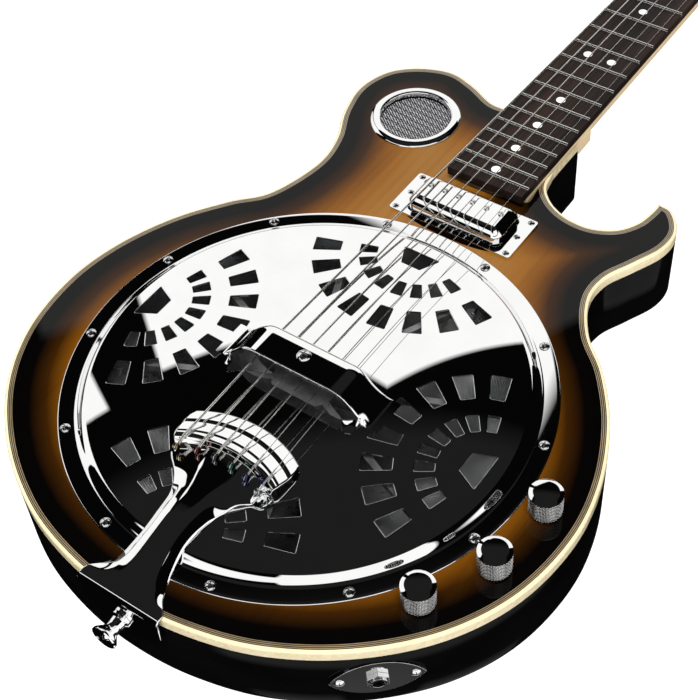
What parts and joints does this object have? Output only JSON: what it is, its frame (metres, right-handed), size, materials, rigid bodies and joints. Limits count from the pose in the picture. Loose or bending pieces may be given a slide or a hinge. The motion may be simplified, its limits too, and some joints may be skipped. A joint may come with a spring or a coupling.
{
  "type": "resonator guitar",
  "caption": "Single-cutaway electric resonator guitar: spun cone under a pierced chrome coverplate, neck pickup, control knobs and a trapeze tailpiece.",
  "frame": {"origin": "on the flat back of the body, under the string saddle, on the centre line of the neck", "axes": "+Z out of the top, +Y along the neck towards the head, +X to the treble side, where the cutaway and the controls are"},
  "size_m": [0.352, 1.0049, 0.0822],
  "materials": {
    "black_lacquer": "black gloss lacquer",
    "sunburst_top": "tobacco sunburst under clear gloss lacquer",
    "binding_cream": "cream, polished",
    "purfling_lines": "black and cream lines",
    "inner_wood": "bare",
    "spun_aluminium": "spun",
    "cast_aluminium": "as cast",
    "maple": "clear satin lacquer",
    "steel": "bright plated",
    "chrome": "mirror chrome plate",
    "knurled_chrome": "chrome plate over diamond knurling",
    "woven_mesh": "woven black and silver mesh",
    "coil": "winding and bobbin",
    "brass": "bright",
    "rosewood": "oiled",
    "fret_wire": "polished",
    "pearl": "pearl",
    "bone": "polished",
    "black_plastic": "gloss black",
    "wound_string": "bronze wound",
    "plain_string": "plain drawn wire"
  },
  "bodies": {
    "root": {"body_back": "black_lacquer", "body_sides": "black_lacquer", "body_top": "sunburst_top", "binding": "binding_cream", "purfling": "purfling_lines", "end_blocks": "inner_wood", "sound_well": "inner_wood", "resonator_cone": "spun_aluminium", "spider": "cast_aluminium", "saddle": "maple", "tension_screw": "steel", "coverplate": "chrome", "coverplate_screws": "steel", "hand_rest": "chrome", "hand_rest_screw": "steel", "sound_hole_ring": "chrome", "sound_hole_mesh": "woven_mesh", "pickup_frame": "chrome", "pickup_cover": "chrome", "pickup_coil": "coil", "pickup_pole_screws": "steel", "pickup_frame_screws": "steel", "pot_housings": "steel", "control_nuts": "steel", "jack_plate": "chrome", "jack_socket": "steel", "jack_plate_screws": "steel", "tailpiece": "chrome", "strap_buttons": "chrome", "neck": "maple", "truss_rod": "steel", "fingerboard": "rosewood", "frets": "fret_wire", "fret_dots": "pearl", "nut": "bone", "truss_rod_cover": "black_plastic", "wound_strings": "wound_string", "plain_strings": "plain_string", "ball_ends": "brass", "tuner_housings": "chrome", "tuner_bushings": "chrome", "tuner_screws": "steel"},
    "volume_control": {"volume_knob": "knurled_chrome", "volume_shaft": "brass"},
    "tone_control": {"tone_knob": "knurled_chrome", "tone_shaft": "brass"},
    "blend_control": {"blend_knob": "knurled_chrome", "blend_shaft": "brass"},
    "button_1": {"tuner_button_1": "chrome"},
    "post_1": {"tuner_post_1": "chrome"},
    "button_2": {"tuner_button_2": "chrome"},
    "post_2": {"tuner_post_2": "chrome"},
    "button_3": {"tuner_button_3": "chrome"},
    "post_3": {"tuner_post_3": "chrome"},
    "button_4": {"tuner_button_4": "chrome"},
    "post_4": {"tuner_post_4": "chrome"},
    "button_5": {"tuner_button_5": "chrome"},
    "post_5": {"tuner_post_5": "chrome"},
    "button_6": {"tuner_button_6": "chrome"},
    "post_6": {"tuner_post_6": "chrome"}
  },
  "joints": [
    {"name": "volume_turn", "type": "hinge", "parent": "root", "child": "volume_control", "pos_m": [0.1539, -0.0049, 0.052], "axis": [0, 0, 1], "range_deg": [-150, 150]},
    {"name": "tone_turn", "type": "hinge", "parent": "root", "child": "tone_control", "pos_m": [0.15, -0.0491, 0.052], "axis": [0, 0, 1], "range_deg": [-150, 150]},
    {"name": "blend_turn", "type": "hinge", "parent": "root", "child": "blend_control", "pos_m": [0.1289, -0.087, 0.052], "axis": [0, 0, 1], "range_deg": [-150, 150]},
    {"name": "button_1_turn", "type": "hinge", "parent": "root", "child": "button_1", "pos_m": [-0.021, 0.67961, 0.02356], "axis": [-1, 0, 0], "continuous": true},
    {"name": "post_1_turn", "type": "hinge", "parent": "root", "child": "post_1", "pos_m": [-0.021, 0.6885, 0.04122], "axis": [0, 0.1045, 0.9945], "continuous": true},
    {"name": "button_2_turn", "type": "hinge", "parent": "root", "child": "button_2", "pos_m": [-0.023, 0.72138, 0.01917], "axis": [-1, 0, 0], "continuous": true},
    {"name": "post_2_turn", "type": "hinge", "parent": "root", "child": "post_2", "pos_m": [-0.023, 0.73027, 0.03683], "axis": [0, 0.1045, 0.9945], "continuous": true},
    {"name": "button_3_turn", "type": "hinge", "parent": "root", "child": "button_3", "pos_m": [-0.025, 0.76315, 0.01478], "axis": [-1, 0, 0], "continuous": true},
    {"name": "post_3_turn", "type": "hinge", "parent": "root", "child": "post_3", "pos_m": [-0.025, 0.77204, 0.03244], "axis": [0, 0.1045, 0.9945], "continuous": true},
    {"name": "button_4_turn", "type": "hinge", "parent": "root", "child": "button_4", "pos_m": [0.025, 0.77707, 0.01331], "axis": [1, 0, 0], "continuous": true},
    {"name": "post_4_turn", "type": "hinge", "parent": "root", "child": "post_4", "pos_m": [0.025, 0.77204, 0.03244], "axis": [0, 0.1045, 0.9945], "continuous": true},
    {"name": "button_5_turn", "type": "hinge", "parent": "root", "child": "button_5", "pos_m": [0.023, 0.7353, 0.0177], "axis": [1, 0, 0], "continuous": true},
    {"name": "post_5_turn", "type": "hinge", "parent": "root", "child": "post_5", "pos_m": [0.023, 0.73027, 0.03683], "axis": [0, 0.1045, 0.9945], "continuous": true},
    {"name": "button_6_turn", "type": "hinge", "parent": "root", "child": "button_6", "pos_m": [0.021, 0.69353, 0.02209], "axis": [1, 0, 0], "continuous": true},
    {"name": "post_6_turn", "type": "hinge", "parent": "root", "child": "post_6", "pos_m": [0.021, 0.6885, 0.04122], "axis": [0, 0.1045, 0.9945], "continuous": true}
  ],
  "couplings": [
    {"joint": "post_1_turn", "follows": "button_1_turn", "ratio": 0.071429},
    {"joint": "post_2_turn", "follows": "button_2_turn", "ratio": 0.071429},
    {"joint": "post_3_turn", "follows": "button_3_turn", "ratio": 0.071429},
    {"joint": "post_4_turn", "follows": "button_4_turn", "ratio": 0.071429},
    {"joint": "post_5_turn", "follows": "button_5_turn", "ratio": 0.071429},
    {"joint": "post_6_turn", "follows": "button_6_turn", "ratio": 0.071429}
  ]
}
